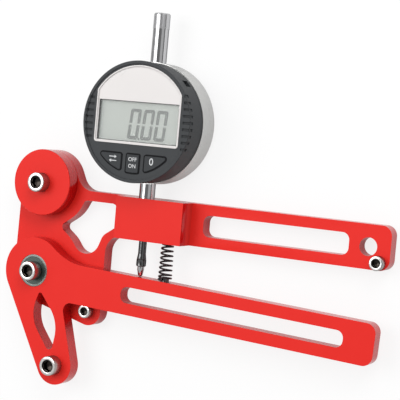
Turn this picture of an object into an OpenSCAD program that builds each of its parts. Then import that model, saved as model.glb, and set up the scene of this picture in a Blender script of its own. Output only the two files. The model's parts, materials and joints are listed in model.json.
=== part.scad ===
// Spoke tension meter with a digital indicator.
// The tool lies on the back face of its frame plate. The origin is the lever's
// pivot axis on that face, +X runs along the upper handle, +Y towards the
// indicator and +Z out of the face. All lengths are in millimetres.

/* [Frame] */
// Thickness of the frame plate
plate_t = 7.5; // [6.5:0.5:9]
// Height of the upper handle, edge to edge
arm_h = 21.4; // [20:0.2:24]
// Lower edge of the upper handle above the pivot
arm_y = 23.1; // [22:0.1:25]
// Free end of the upper handle from the pivot
arm_end = 191; // [185:1:200]
// Corner radius at the handles' free ends
handle_corner = 5; // [3:0.5:5.5]
// Radius of the frame round the pivot
frame_pivot_r = 17.4; // [16.5:0.1:18]
// Radius of the upper post's disc and of the frame behind it
disc_r = 17.3; // [16:0.1:18]
// Upper post from the pivot, along the upper handle
top_post_x = 0.8; // [0:0.1:3]
// Upper post from the pivot, across the upper handle
top_post_y = 46.7; // [45.5:0.1:48]
// Fillet between the disc's lobe and the handle
lobe_fillet = 10; // [7:0.5:12]
// Right edge of the frame's leg
leg_x = 37.8; // [37:0.1:39]
// Radius of the lobe that carries the opening stop
stop_lobe_r = 7.5; // [6.5:0.1:8]

/* [Handle slots] */
// Length of the slot in the upper handle
arm_slot_l = 77.2; // [60:1:80]
// Height of the slot in the upper handle
arm_slot_h = 10.8; // [8:0.1:12]
// Length of the slot in the lever's handle
lever_slot_l = 121; // [90:1:122]
// Height of the slot in the lever's handle
lever_slot_h = 8.2; // [6:0.1:10]
// Corner radius of both slots
slot_corner = 3.6; // [2:0.1:4]
// Wall between each slot and the handle's free end, lever
lever_slot_wall = 15.5; // [10:0.1:20]
// Wall between the slot and the handle's free end, frame
arm_slot_wall = 20.8; // [19:0.1:24]
// Radius of the hanging hole
hang_r = 4.4; // [3.5:0.1:4.6]
// Hanging hole's centre from the handle's free end
hang_inset = 11.1; // [10:0.1:12]

/* [Lever] */
// Thickness of the lever
lever_t = 7.5; // [7:0.1:8.5]
// Gap between the frame plate and the lever
lever_gap = 0.5; // [0.3:0.1:1]
// Angle of the open lever below the upper handle's direction
rest_angle = 2.5; // [2:0.1:3]
// Radius of the lever round its pivot
lever_pivot_r = 17.5; // [16.5:0.1:18]
// Upper edge of the lever's handle above the pivot
lever_up = 7.3; // [6.5:0.1:8]
// Lower edge of the lever's handle below the pivot
lever_low = 13; // [12.5:0.1:13.5]
// Free end of the lever from the pivot
lever_end = 190.3; // [184:0.1:194]
// Fillet between the pivot's lobe and the handle's upper edge
lever_fillet = 30; // [20:1:35]
// Radius of the lobe round the lower post
leg_lobe_r = 10.4; // [9.5:0.1:11]
// Lower post from the pivot, along the lever's handle
low_post_x = 19.3; // [18.5:0.1:20]
// Lower post from the pivot, below the lever's handle
low_post_y = 46.7; // [46:0.1:48]

/* [Indicator block] */
// Left face of the block that holds the indicator's stem
block_x = 48; // [47:0.1:49]
// Length of the block along the handle
block_l = 38; // [36:0.5:42]
// Front of the block above the stem's axis
block_front = 6; // [5.5:0.1:8]
// Indicator's axis from the pivot
gauge_x = 62; // [61:0.1:64]
// Stem that shows between the block and the indicator's case
stem_show = 7.3; // [6:0.1:9]

/* [Return spring] */
// Spring's axis from the pivot
spring_x = 76.3; // [76:0.1:77]
// Wire diameter
wire_d = 0.95; // [0.7:0.05:0.95]
// Outer diameter at the block
spring_top_d = 6.4; // [6:0.1:6.8]
// Outer diameter at the lever
spring_foot_d = 7.4; // [7:0.1:7.6]
// Pitch of the open curls
spring_pitch = 2.41; // [2.2:0.01:2.6]
// Pitch of the closed end curls
closed_pitch = 1.41; // [1.38:0.01:1.5]
// Depth of the spring's pocket in the block
pocket_depth = 3; // [2:0.1:4]

/* [Screws] */
// Thread diameter of the three spoke posts
post_d = 6; // [5:1:6]
// Head diameter of the three spoke posts
post_head_d = 10; // [9:0.1:10.5]
// Head height of the three spoke posts
post_head_h = 6; // [5:0.1:6.5]
// Thread diameter of the two stop screws
stop_d = 4; // [3:1:4]
// Head diameter of the two stop screws
stop_head_d = 7; // [6.8:0.1:7.2]
// Head height of the two stop screws
stop_head_h = 4; // [3.5:0.1:4.4]

/* [Bearing] */
// Outer diameter of the pivot bearing
bearing_od = 17; // [16:0.5:19]
// Width of the pivot bearing
bearing_w = 6; // [5:0.5:6]
// Number of balls
ball_count = 8; // [6:1:9]

/* [Indicator] */
// Radius of the dark front housing
bezel_r = 30.2; // [29:0.1:30.4]
// How far the bright metal case stands out past the housing
case_lip = 0.4; // [0.3:0.1:1]
// Back of the case behind the stem's axis
case_back = 8.1; // [7.6:0.1:9]
// Front of the case before the stem's axis
case_front = 4.8; // [4.1:0.1:5.4]
// Depth of the dark front housing
bezel_depth = 13.3; // [12:0.1:16]
// Diameter of the stem and of the upper tube
stem_d = 8; // [7.5:0.1:8.2]
// Diameter of the spindle
spindle_d = 4; // [3.5:0.1:4.2]
// Upper tube and cap above the case
tube_l = 24.7; // [22:0.1:30]
// Height of the cap on the upper tube
cap_l = 7.8; // [6:0.1:9]
// Display's middle right of the indicator's axis
display_x = 0.5; // [0:0.1:0.6]
// Half width of the display plate
plate_half_w = 23.8; // [23.5:0.1:24]
// Radius of the display plate's upper edge
plate_arc_r = 28; // [27:0.1:28.1]
// Lower edge of the display plate below the centre
plate_low = 11.3; // [11.2:0.1:11.8]
// Half width of the display's clear window
lcd_half_w = 22.5; // [20:0.1:22.6]
// Half height of the display's clear window
lcd_half_h = 10; // [9:0.1:10.1]
// Space between the display plate and the three buttons
button_space = 4.1; // [3.8:0.1:5]
// Width of the housing's face outside the three buttons
button_rim = 4.3; // [4:0.1:5.5]
// Width of the middle button's opening
button_w = 8.4; // [7:0.1:9]
// Space between the middle button's opening and its neighbours
button_gap = 1.7; // [1.4:0.1:2.4]
// How far a button goes in
button_travel = 0.6; // [0.4:0.1:0.8]

/* [Hidden] */

$fn = 96;
arc_step = 5;            // degrees between the points of a rounded corner
web = 0.3;               // straight run between a fillet and the disc it leads to
run_gap = 0.05;          // radial running clearance
touch = 0.05;            // gap where a moving piece rests on a stop
cut = 1;                 // how far a cutter runs past the face it opens

stem_z = plate_t + lever_gap + lever_t / 2;
lever_z = plate_t + lever_gap;
face_z = lever_z + lever_t;
arm_top = arm_y + arm_h;
arm_mid = arm_y + arm_h / 2;
case_r = bezel_r + case_lip;
button_top = plate_low + button_space;
button_arc_r = bezel_r - button_rim;
block_top_z = stem_z + block_front;
gauge_y = arm_top + stem_show + case_r;
top_post = [top_post_x, top_post_y];
low_post = [low_post_x, -low_post_y];
stem_r = stem_d / 2;
stem_end = arm_y + 9;    // lower end of the stem, inside the block
stop_head_r = stop_head_d / 2;

// Turns a point of the lever's own drawing into the frame at rest.
function at_rest(p) = [
    p[0] * cos(rest_angle) + p[1] * sin(rest_angle),
    -p[0] * sin(rest_angle) + p[1] * cos(rest_angle)];
// Height of the lever's upper edge at rest, at a distance from the pivot.
function lever_edge(x) = -x * tan(rest_angle) + lever_up / cos(rest_angle);

opening_stop_x = 31.1;   // opening stop along the lever's lower edge
closing_stop_inset = 5.3;
opening_stop = at_rest([opening_stop_x, -lever_low - stop_head_r - touch]);
closing_stop = [arm_end - closing_stop_inset, arm_y + stop_head_r + 0.1];

// ---------------------------------------------------------------- helpers

function unit(v) = v / norm(v);

// Points of an outline whose corners [x, y, radius] are rounded.
function rounded(pts) = [
    for (i = [0:len(pts) - 1])
        let (n = len(pts), c = pts[i], p = pts[(i + n - 1) % n], q = pts[(i + 1) % n],
            o = [c[0], c[1]], u = unit([p[0], p[1]] - o), v = unit([q[0], q[1]] - o),
            half = acos(u * v) / 2, m = o + unit(u + v) * c[2] / sin(half),
            s = o + u * c[2] / tan(half) - m, turn = 180 - 2 * half,
            way = u[0] * v[1] - u[1] * v[0] > 0 ? -1 : 1,
            steps = c[2] > 0 ? max(1, ceil(turn / arc_step)) : 0)
        for (k = [0:steps])
            let (a = steps > 0 ? way * turn * k / steps : 0)
            c[2] > 0 ? m + [s[0] * cos(a) - s[1] * sin(a), s[0] * sin(a) + s[1] * cos(a)] : o
];

// Rectangle from corner a to corner b with corners of radius r.
module round_box(a, b, r) {
    polygon(rounded([[a[0], a[1], r], [b[0], a[1], r], [b[0], b[1], r], [a[0], b[1], r]]));
}

// Direction of the straight run that touches disc a and then disc b. A disc is
// [x, y, radius, side]: side 1 bulges out of the outline, side -1 cuts into it.
function run_dir(a, b) = let (d = [b[0] - a[0], b[1] - a[1]])
    atan2(d[1], d[0]) - asin((b[3] * b[2] - a[3] * a[2]) / norm(d));

// Outline of a belt laid anticlockwise round the discs, as points.
function belt(discs) = [
    for (i = [0:len(discs) - 1])
        let (n = len(discs), c = discs[i], into = run_dir(discs[(i + n - 1) % n], c),
            out = run_dir(c, discs[(i + 1) % n]), turn = c[3] * ((c[3] * (out - into) + 720) % 360),
            steps = ceil(abs(turn) / arc_step))
        for (k = [0:steps])
            let (a = into + turn * k / steps)
            [c[0] + c[3] * c[2] * sin(a), c[1] - c[3] * c[2] * cos(a)]
];

// Centre, along an edge at height edge_y, of a fillet of radius f from the edge to a disc.
function fillet_x(c, r, edge_y, f) =
    c[0] + sqrt(pow(r + f, 2) - pow(edge_y + f - c[1], 2)) + web;

// Ring of inner radius a and outer radius b, standing on z = 0.
module ring(a, b, h) {
    difference() {
        cylinder(r = b, h = h);
        translate([0, 0, -cut]) cylinder(r = a, h = h + 2 * cut);
    }
}

// Socket-head screw: the head stands on z = 0, the thread runs down.
module cap_screw(d, head_d, head_h, length) {
    hex = d * 0.83;
    edge = head_h * 0.08;
    difference() {
        rotate_extrude() polygon([[0, -length], [d / 2 - 0.4, -length], [d / 2, 0.4 - length],
            [d / 2, 0], [head_d / 2, 0], [head_d / 2, head_h - edge],
            [head_d / 2 - edge, head_h], [0, head_h]]);
        translate([0, 0, head_h / 2]) cylinder(d = hex / cos(30), h = head_h, $fn = 6);
        translate([0, 0, head_h - edge * 1.5])
            cylinder(r1 = hex * 0.5, r2 = hex * 0.5 + 2 * edge, h = 2 * edge);
    }
}

// Turns and moves a piece drawn along +Z so that it runs up the indicator's axis.
module on_stem(y) {
    translate([gauge_x, y, stem_z]) rotate([-90, 0, 0]) children();
}

module at_gauge(z) {
    translate([gauge_x, gauge_y, z]) children();
}

// ------------------------------------------------------------------ frame

win_top = 5.1;           // frame above the window
win_side = 4.7;          // frame between the window and the block
win_bend = disc_r + 6.7; // from the disc's centre to the corner that bends round it
frame_win = [            // the window's corners and radii
    [block_x - win_side, arm_top - win_top, 3.5],
    [23.4, arm_top - win_top, 2.5],
    [top_post_x + win_bend * cos(39.3), top_post_y - win_bend * sin(39.3), 20],
    [8.8, 24.4, 2.4],
    [16.7, 18.6, 18],
    [28.2, 3.0, 8.2],
    [35.6, 22.4, 7],
    [block_x - win_side, 27.6, 1]];

leg_fillet_r = 9;                              // inner corner between leg and handle

frame_discs = [
    [0, 0, frame_pivot_r, 1],
    [opening_stop[0], opening_stop[1], stop_lobe_r, 1],
    [leg_x + leg_fillet_r, arm_y - leg_fillet_r, leg_fillet_r, -1],
    [arm_end - handle_corner, arm_y + handle_corner, handle_corner, 1],
    [arm_end - handle_corner, arm_top - handle_corner, handle_corner, 1],
    [fillet_x(top_post, disc_r, arm_top, lobe_fillet), arm_top + lobe_fillet, lobe_fillet, -1],
    [top_post[0], top_post[1], disc_r, 1]];

module frame_outline() {
    difference() {
        polygon(belt(frame_discs));
        polygon(rounded(frame_win));
        round_box([arm_end - arm_slot_wall - arm_slot_l, arm_mid - arm_slot_h / 2],
            [arm_end - arm_slot_wall, arm_mid + arm_slot_h / 2], slot_corner);
    }
}

module frame_plate() {
    color([0.91, 0.17, 0.14])
    difference() {
        union() {
            linear_extrude(plate_t) frame_outline();
            translate([block_x, arm_y, 0]) cube([block_l, arm_h, block_top_z]);
        }
        translate(concat(top_post, -cut)) cylinder(d = post_d, h = plate_t + 2 * cut);
        translate([0, 0, -cut]) cylinder(d = post_d, h = plate_t + 2 * cut);
        for (p = [opening_stop, closing_stop])
            translate(concat(p, -cut)) cylinder(d = stop_d, h = plate_t + 2 * cut);
        translate([arm_end - hang_inset, arm_mid, -cut]) cylinder(r = hang_r, h = plate_t + 2 * cut);
        on_stem(arm_y - cut) cylinder(d = stem_d, h = arm_h + 2 * cut);
        translate([gauge_x, grub_y, -cut]) cylinder(d = grub_d, h = stem_z);
        spring_pocket();
    }
}

pocket_d = spring_top_d + 0.8;

module spring_pocket() {
    translate([spring_x, arm_y - cut, stem_z]) rotate([-90, 0, 0])
        cylinder(d = pocket_d, h = pocket_depth + cut);
}

module upper_disc() {
    color([0.91, 0.19, 0.15])
    translate(concat(top_post, plate_t)) ring(post_d / 2, disc_r, face_z - plate_t);
}

module upper_post_screw() {
    color([0.78, 0.78, 0.76])
    translate(concat(top_post, face_z)) cap_screw(post_d, post_head_d, post_head_h, face_z - 0.3);
}

module pivot_screw() {
    color([0.78, 0.78, 0.76])
    translate([0, 0, face_z]) cap_screw(post_d, post_head_d, post_head_h, face_z);
}

module pivot_spacer() {
    color([0.7, 0.7, 0.68])
    translate([0, 0, plate_t]) ring(post_d / 2, inner_ring_r, face_z - bearing_w - plate_t);
}

module opening_stop_screw() {
    color([0.74, 0.74, 0.72])
    translate(concat(opening_stop, plate_t)) cap_screw(stop_d, stop_head_d, stop_head_h, plate_t - 0.5);
}

module closing_stop_screw() {
    color([0.74, 0.74, 0.72])
    translate(concat(closing_stop, plate_t)) cap_screw(stop_d, stop_head_d, stop_head_h, plate_t - 0.5);
}

grub_d = 5;
grub_y = (stem_end + arm_top) / 2;

// Socket grub screw that presses on the stem from behind.
module stem_grub_screw() {
    color([0.25, 0.25, 0.27])
    translate([gauge_x, grub_y, 1]) difference() {
        cylinder(d = grub_d, h = stem_z - stem_r - 1);
        translate([0, 0, -cut]) cylinder(d = 2.9, h = 3 + cut, $fn = 6);
    }
}

// ---------------------------------------------------------------- bearing

bearing_r = bearing_od / 2;
inner_ring_r = post_d / 2 + 1.5;
outer_race_r = bearing_r - 1.3;
ball_track_r = (inner_ring_r + outer_race_r) / 2;
ball_r = (outer_race_r - inner_ring_r) / 2 - 0.02;
bearing_z = face_z - bearing_w;
shield_t = 0.3;

module bearing_inner_ring() {
    color([0.62, 0.64, 0.64])
    translate([0, 0, bearing_z]) ring(post_d / 2, inner_ring_r, bearing_w);
}

module bearing_outer_ring() {
    color([0.62, 0.64, 0.64])
    translate([0, 0, bearing_z]) ring(outer_race_r, bearing_r, bearing_w);
}

module bearing_balls() {
    color([0.85, 0.85, 0.85])
    for (i = [0:ball_count - 1])
        rotate(i * 360 / ball_count) translate([ball_track_r, 0, bearing_z + bearing_w / 2])
            sphere(r = ball_r, $fn = 24);
}

module bearing_shields() {
    color([0.30, 0.34, 0.32])
    for (z = [bearing_z + 0.2, face_z - 0.2 - shield_t])
        translate([0, 0, z]) ring(inner_ring_r + 0.15, outer_race_r, shield_t);
}

// ------------------------------------------------------------------ lever

crescent = [                                   // the leaf-shaped hole's corners
    [5.5, -9.6, 1.2],
    [1.1, -23.9, 17],
    [low_post_x - 2.8, 4.3 - low_post_y, 2.2],
    [18.7, -24.1, 18]];
notch_r = 4.2;                                 // inner corner between leg and handle
notch_x = 25.2;
lever_discs = [
    [0, 0, lever_pivot_r, 1],
    [low_post[0], low_post[1], leg_lobe_r, 1],
    [notch_x, -lever_low - notch_r, notch_r, -1],
    [lever_end - handle_corner, -lever_low + handle_corner, handle_corner, 1],
    [lever_end - handle_corner, lever_up - handle_corner, handle_corner, 1],
    [fillet_x([0, 0], lever_pivot_r, lever_up, lever_fillet), lever_up + lever_fillet, lever_fillet, -1]];

module lever_outline() {
    difference() {
        polygon(belt(lever_discs));
        polygon(rounded(crescent));
        round_box([lever_end - lever_slot_wall - lever_slot_l, slot_mid - lever_slot_h / 2],
            [lever_end - lever_slot_wall, slot_mid + lever_slot_h / 2], slot_corner);
    }
}

slot_mid = (lever_up - lever_low) / 2;

module lever_arm() {
    color([0.89, 0.17, 0.14])
    difference() {
        rotate(-rest_angle) translate([0, 0, lever_z]) linear_extrude(lever_t) lever_outline();
        translate([0, 0, bearing_z]) cylinder(r = bearing_r, h = bearing_w + cut);
        translate([0, 0, lever_z - cut]) cylinder(r = outer_race_r, h = lever_t + 2 * cut);
        translate(concat(at_rest(low_post), lever_z - cut)) cylinder(d = post_d, h = lever_t + 2 * cut);
        pin_hole();
    }
}

module lower_post_screw() {
    color([0.78, 0.78, 0.76])
    translate(concat(at_rest(low_post), face_z)) cap_screw(post_d, post_head_d, post_head_h, lever_t - 0.3);
}

// Pin that keeps the spring's foot in place on the lever.
pin_d = spring_foot_d - 2 * wire_d - 1.6;
pin_hold = 4;
pin_show = 2.2;

module on_lever_edge(y) {
    translate([spring_x, lever_edge(spring_x) + y, stem_z]) rotate([-90, 0, -rest_angle]) children();
}

module pin_hole() {
    on_lever_edge(-pin_hold) cylinder(d = pin_d, h = pin_hold + cut);
}

module spring_pin() {
    color([0.5, 0.5, 0.5])
    on_lever_edge(-pin_hold) cylinder(d = pin_d, h = pin_hold + pin_show);
}

// ----------------------------------------------------------- return spring

foot_y = lever_edge(spring_x - spring_foot_d / 2) + 0.1;   // underside of the first curl
crown_y = arm_y + pocket_depth - 0.1;                       // top of the last curl
foot_turns = 1.5;
crown_turns = 1;
open_turns = (crown_y - foot_y - wire_d - (foot_turns + crown_turns) * closed_pitch) / spring_pitch;
spring_turns = foot_turns + open_turns + crown_turns;
spring_rings = ceil(spring_turns * 8);

// Height of the wire's centre above the foot after a number of turns.
function coil_rise(t) = closed_pitch * min(t, foot_turns)
    + spring_pitch * max(0, min(t - foot_turns, open_turns))
    + closed_pitch * max(0, t - foot_turns - open_turns);
function coil_radius(t) = let (k = t / spring_turns)
    (spring_foot_d * (1 - k) + spring_top_d * k - wire_d) / 2;
// The spring is wound left-handed, as its near strands fall to the right.
function coil_point(t) = [spring_x + coil_radius(t) * cos(-360 * t - 90),
    foot_y + wire_d / 2 + coil_rise(t), stem_z - coil_radius(t) * sin(-360 * t - 90)];
coil_path = [for (i = [0:spring_rings]) coil_point(spring_turns * i / spring_rings)];

coil_gap = min([for (i = [0:spring_rings - 5]) for (j = [i + 5:spring_rings])
    norm(coil_path[i] - coil_path[j])]) - wire_d;
echo(least_gap_of_return_spring = coil_gap, curls = spring_turns);

// Tube of the given radius and sides along a path, closed at both ends.
module tube_along(path, r, sides) {
    n = len(path);
    dirs = [for (i = [0:n - 1]) unit(path[min(i + 1, n - 1)] - path[max(i - 1, 0)])];
    pts = [for (i = [0:n - 1])
        let (u = unit(cross(dirs[i], [0, 1, 0])), w = cross(dirs[i], u))
        for (k = [0:sides - 1])
            path[i] + r * (u * cos(360 * k / sides) + w * sin(360 * k / sides))];
    walls = [for (i = [0:n - 2]) for (k = [0:sides - 1])
        let (a = i * sides + k, b = i * sides + (k + 1) % sides)
        for (f = [[a, b, a + sides], [b, b + sides, a + sides]]) f];
    ends = [for (k = [1:sides - 2])
        for (f = [[0, k + 1, k], [(n - 1) * sides, (n - 1) * sides + k, (n - 1) * sides + k + 1]]) f];
    polyhedron(points = pts, faces = concat(walls, ends));
}

module return_spring() {
    color([0.13, 0.11, 0.11]) tube_along(coil_path, wire_d / 2, 6);
}

// --------------------------------------------------------------- indicator

case_z = stem_z - case_back;
bezel_z = stem_z + case_front;
front_z = bezel_z + bezel_depth;
wall = 2.2;                   // wall of the case and of the front housing
cover_t = 1.5;                // back cover
ledge_t = 1.5;                // ledge that the back cover sits on
cover_r = case_r - wall;
rim_w = 1.7;                  // front rim round the recessed face
recess = 0.6;                 // how deep the face lies behind the rim
face_t = 1.8;                 // thickness of the recessed face
recess_z = front_z - recess;
screw_ring_r = cover_r - 2.6;
bush_l = 6;

// Case: a drum with a ledge at its back, drilled for the stem and the tube.
module gauge_case() {
    color([0.80, 0.80, 0.79])
    difference() {
        at_gauge(case_z) rotate_extrude() polygon([
            [cover_r, 0], [case_r - 0.5, 0], [case_r, 0.5], [case_r, bezel_z - case_z],
            [cover_r, bezel_z - case_z], [cover_r, cover_t + ledge_t],
            [cover_r - 5, cover_t + ledge_t], [cover_r - 5, cover_t], [cover_r, cover_t]]);
        on_stem(gauge_y - case_r - cut) cylinder(d = stem_d, h = 2 * case_r + 2 * cut);
        at_gauge(case_z) cover_screw_places() translate([0, 0, cover_t - cut / 2])
            cylinder(d = 2, h = ledge_t + cut);
    }
}

module cover_screw_places() {
    for (a = [45:90:315]) rotate(a) translate([screw_ring_r, 0, 0]) children();
}

module gauge_back_cover() {
    color([0.77, 0.77, 0.76])
    at_gauge(case_z) difference() {
        cylinder(r = cover_r, h = cover_t);
        cover_screw_places() translate([0, 0, -cut]) cylinder(d = 2, h = cover_t + 2 * cut);
        cover_screw_places() translate([0, 0, -cut]) cylinder(d = 3.8, h = 0.8 + cut);
    }
}

module back_cover_screws() {
    color([0.6, 0.6, 0.6])
    at_gauge(case_z) cover_screw_places() difference() {
        union() {
            cylinder(d = 2, h = cover_t + ledge_t);
            cylinder(d = 3.8, h = 0.8);
        }
        for (a = [0, 90]) rotate(a) translate([-1, -0.25, -cut]) cube([2, 0.5, cut + 0.4]);
    }
}

// Outline of the display plate, drawn in by a margin.
module display_outline(inset) {
    translate([display_x, 0]) offset(r = 1.5) offset(delta = -1.5 - inset) intersection() {
        circle(r = plate_arc_r);
        translate([-plate_half_w, -plate_low]) square([2 * plate_half_w, bezel_r + plate_low]);
    }
}

// Outline of a button's opening, drawn in by a margin: -1 left, 0 middle, 1 right.
// Its corners keep their centres, so that the margin is as wide there as elsewhere.
module button_outline(place, inset) {
    corner = place == 0 ? 1.2 : 1.6;
    near = button_w / 2 + button_gap;
    offset(r = corner - inset) offset(delta = -corner) intersection() {
        circle(r = button_arc_r);
        if (place == 0)
            translate([-button_w / 2, -button_arc_r]) square([button_w, button_arc_r - button_top]);
        else
            translate([place > 0 ? near : -near - bezel_r, -button_arc_r])
                square([bezel_r, button_arc_r - button_top]);
    }
}

port_angle = 43.5;
port_w = 3.8;
port_l = 5;
port_z = bezel_z + 2.3;
face_edge = 0.2;              // chamfer of the housing's front edge
grip_pitch = 3.25;
grip_w = 1.3;
grip_cut = 0.4;               // depth of a groove
grip_deep = 3;                // how far a right groove runs down the housing's side
grip_inset = 1.4;             // from the display plate to the grooves
grip_right = [14.5, 9];       // top groove above the centre, number of grooves
grip_left = [10.6, 7];
grip_end = 1.1;               // from a left groove's end to the housing's edge

// Front housing: a dark cup with a raised rim, openings and grip grooves.
module gauge_bezel() {
    color([0.27, 0.29, 0.31])
    difference() {
        at_gauge(bezel_z) rotate_extrude() polygon([
            [bezel_r - wall, 0], [bezel_r, 0], [bezel_r, bezel_depth - face_edge],
            [bezel_r - face_edge, bezel_depth], [bezel_r - rim_w + 0.2, bezel_depth],
            [bezel_r - rim_w, bezel_depth - recess], [0, bezel_depth - recess],
            [0, bezel_depth - recess - face_t], [bezel_r - wall, bezel_depth - recess - face_t]]);
        at_gauge(recess_z - face_t - cut) linear_extrude(face_t + 2 * cut) {
            display_outline(0);
            for (place = [-1:1]) button_outline(place, 0);
        }
        at_gauge(0) intersection() {
            grip_skin();
            union() {
                grip_rows(grip_right, plate_half_w + display_x, -cut);
                mirror([1, 0, 0]) grip_rows(grip_left, plate_half_w - display_x, grip_end);
            }
        }
        at_gauge(port_z) rotate(port_angle) translate([bezel_r - wall - cut, -port_w / 2, 0])
            cube([wall + 2 * cut, port_w, port_l]);
    }
}

// What the grip grooves may take off: a thin skin of the face, the rim and the side.
module grip_skin() {
    rim_r = bezel_r - rim_w;
    floor_r = bezel_r - grip_cut;
    rotate_extrude() polygon([[0, recess_z - grip_cut], [rim_r, recess_z - grip_cut],
        [rim_r, front_z - grip_cut], [floor_r, front_z - grip_cut], [floor_r, front_z - grip_deep],
        [bezel_r + cut, front_z - grip_deep], [bezel_r + cut, front_z + cut], [0, front_z + cut]]);
}

// Bars where the grooves lie, from beside the display plate to short of the edge.
module grip_rows(row, plate_x, short) {
    start = plate_x + grip_inset;
    for (i = [0:row[1] - 1])
        let (y = row[0] - i * grip_pitch, end = sqrt(pow(bezel_r - short, 2) - pow(y, 2)))
        translate([start, y - grip_w / 2, front_z - grip_deep - cut])
            cube([end - start, grip_w, grip_deep + 2 * cut]);
}

module display_plate() {
    color([0.93, 0.91, 0.90])
    at_gauge(recess_z - face_t) difference() {
        linear_extrude(face_t + 0.3) display_outline(0.05);
        translate([0, 0, face_t - 0.3]) linear_extrude(1) display_outline(0.7);
        translate([display_x - lcd_half_w, -lcd_half_h, -cut])
            cube([2 * lcd_half_w, 2 * lcd_half_h, face_t + 2 * cut]);
    }
}

module lcd_window() {
    color([0.85, 0.9, 0.88, 0.4])
    at_gauge(recess_z - face_t) translate([display_x - lcd_half_w + 0.02, -lcd_half_h + 0.02, 0.6])
        cube([2 * lcd_half_w - 0.04, 2 * lcd_half_h - 0.04, face_t - 1]);
}

lcd_t = 2.2;
lcd_z = recess_z - face_t - lcd_t;
board_t = 1.6;
board_z = lcd_z - board_t;
board_r = bezel_r - wall - 0.4;

module lcd_panel() {
    color([0.77, 0.80, 0.78])
    at_gauge(lcd_z) translate([display_x - lcd_half_w - 1.2, -lcd_half_h - 0.9, 0])
        cube([2 * lcd_half_w + 2.4, 2 * lcd_half_h + 1.8, lcd_t]);
}

module circuit_board() {
    color([0.12, 0.38, 0.22])
    difference() {
        at_gauge(board_z) cylinder(r = board_r, h = board_t);
        socket_place(0.1);
    }
}

// The cell hangs in a clip behind the board, beside the spindle.
cell_d = 20;
cell_t = 3.2;
clip_wall = 1.2;
clip_gap = 1.4;               // between the clip and the housing's wall
cell_x = -(bezel_r - wall - clip_gap - clip_wall - cell_d / 2);

module coin_cell() {
    color([0.75, 0.76, 0.77])
    at_gauge(board_z - clip_wall - cell_t) translate([cell_x, 0, 0]) cylinder(d = cell_d, h = cell_t);
}

module battery_clip() {
    color([0.15, 0.15, 0.16])
    at_gauge(board_z - clip_wall - cell_t) translate([cell_x, 0, 0]) difference() {
        cylinder(d = cell_d + 2 * clip_wall, h = cell_t + clip_wall);
        translate([0, 0, -cut]) cylinder(d = cell_d, h = cell_t + cut);
        translate([-cell_d, -3, -cut]) cube([cell_d, 6, cell_t + cut]);
    }
}

// Socket behind the port: a body inside the wall and a tongue in the slot.
socket_edge = 0.6;            // how far the body stands past the slot's edges
socket_depth = 2.4;
socket_gap = 0.2;

// The socket's body, grown by a margin.
module socket_place(margin) {
    edge = socket_edge + margin;
    at_gauge(port_z) rotate(port_angle)
        translate([bezel_r - wall - socket_gap - socket_depth - margin, -port_w / 2 - edge, -edge])
            cube([socket_depth + 2 * margin, port_w + 2 * edge, port_l + 2 * edge]);
}

module data_socket() {
    color([0.04, 0.04, 0.05]) {
        socket_place(0);
        at_gauge(port_z) rotate(port_angle)
            translate([bezel_r - wall - socket_gap - cut, -port_w / 2 + run_gap, run_gap])
                cube([wall, port_w - 2 * run_gap, port_l - 2 * run_gap]);
    }
}

// Rubber mat behind the face; a lip round each button fills its opening.
lip_w = 0.65;
mat_t = 1.2;
mat_z = recess_z - face_t - mat_t;
cap_gap = 0.1;
button_proud = 0.5;

module button_membrane() {
    color([0.05, 0.05, 0.06])
    at_gauge(mat_z) difference() {
        union() {
            linear_extrude(mat_t) intersection() {
                circle(r = board_r - 0.4);
                translate([-bezel_r, -bezel_r]) square([2 * bezel_r, bezel_r - plate_low - 1.6]);
            }
            linear_extrude(mat_t + face_t + 0.1) for (place = [-1:1]) button_outline(place, 0.02);
        }
        translate([0, 0, -cut]) linear_extrude(mat_t + face_t + 2 * cut)
            for (place = [-1:1]) button_outline(place, lip_w);
    }
}

// A button's cap with its plunger, which stops short of the board by its travel.
module button(place) {
    color([0.25, 0.27, 0.29])
    at_gauge(board_z + board_t + button_travel + 0.1)
        linear_extrude(recess_z + button_proud - board_z - board_t - button_travel - 0.1)
            button_outline(place, lip_w + cap_gap);
}

module units_button() { button(-1); }
module power_button() { button(0); }
module zero_button() { button(1); }

// ------------------------------------------------- stem, tube and spindle

tube_bore = spindle_d / 2 + 1.1;
case_low = gauge_y - case_r;
case_high = gauge_y + case_r;
tube_end = case_high + tube_l - cap_l;
collar_drop = 14;        // the collar's underside below the case's centre, spindle right out
collar_y = gauge_y - collar_drop;
collar_l = 5;

module stem_tube() {
    color([0.72, 0.73, 0.74])
    on_stem(stem_end) ring(tube_bore, stem_r, case_low + wall + 2 - stem_end);
}

module lower_bush() {
    color([0.75, 0.62, 0.3])
    on_stem(stem_end) ring(spindle_d / 2 + run_gap, tube_bore, bush_l);
}

module upper_tube() {
    color([0.72, 0.73, 0.74])
    on_stem(case_high - wall - 2) ring(tube_bore, stem_r, tube_end - case_high + wall + 2);
}

module upper_bush() {
    color([0.75, 0.62, 0.3])
    on_stem(case_high - wall - 2) ring(spindle_d / 2 + run_gap, tube_bore, bush_l);
}

module tube_cap() {
    color([0.82, 0.82, 0.82])
    on_stem(tube_end) difference() {
        rotate_extrude() polygon([[0, 0], [stem_r + 0.15, 0], [stem_r + 0.15, cap_l - 0.6],
            [stem_r - 0.45, cap_l], [0, cap_l]]);
        translate([0, 0, -cut]) cylinder(r = tube_bore, h = cap_l - 1.2 + cut);
    }
}

// Fixed scale of the sensor on a rail behind the board, beside the spindle.
rail_x = spindle_d / 2 + 4.2;
rail_w = 6;
rail_l = 40;
rail_z = stem_z + spindle_d / 2 + 1.2;

module sensor_rail() {
    color([0.2, 0.35, 0.55])
    translate([gauge_x + rail_x, gauge_y - rail_l / 2, rail_z])
        cube([rail_w, rail_l, board_z - rail_z]);
}

contact_gap = touch;
tip_r = 1.1;
tip_d = 3.4;
tip_l = 5.2;
body_d = 5;
body_l = 6.4;
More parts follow.
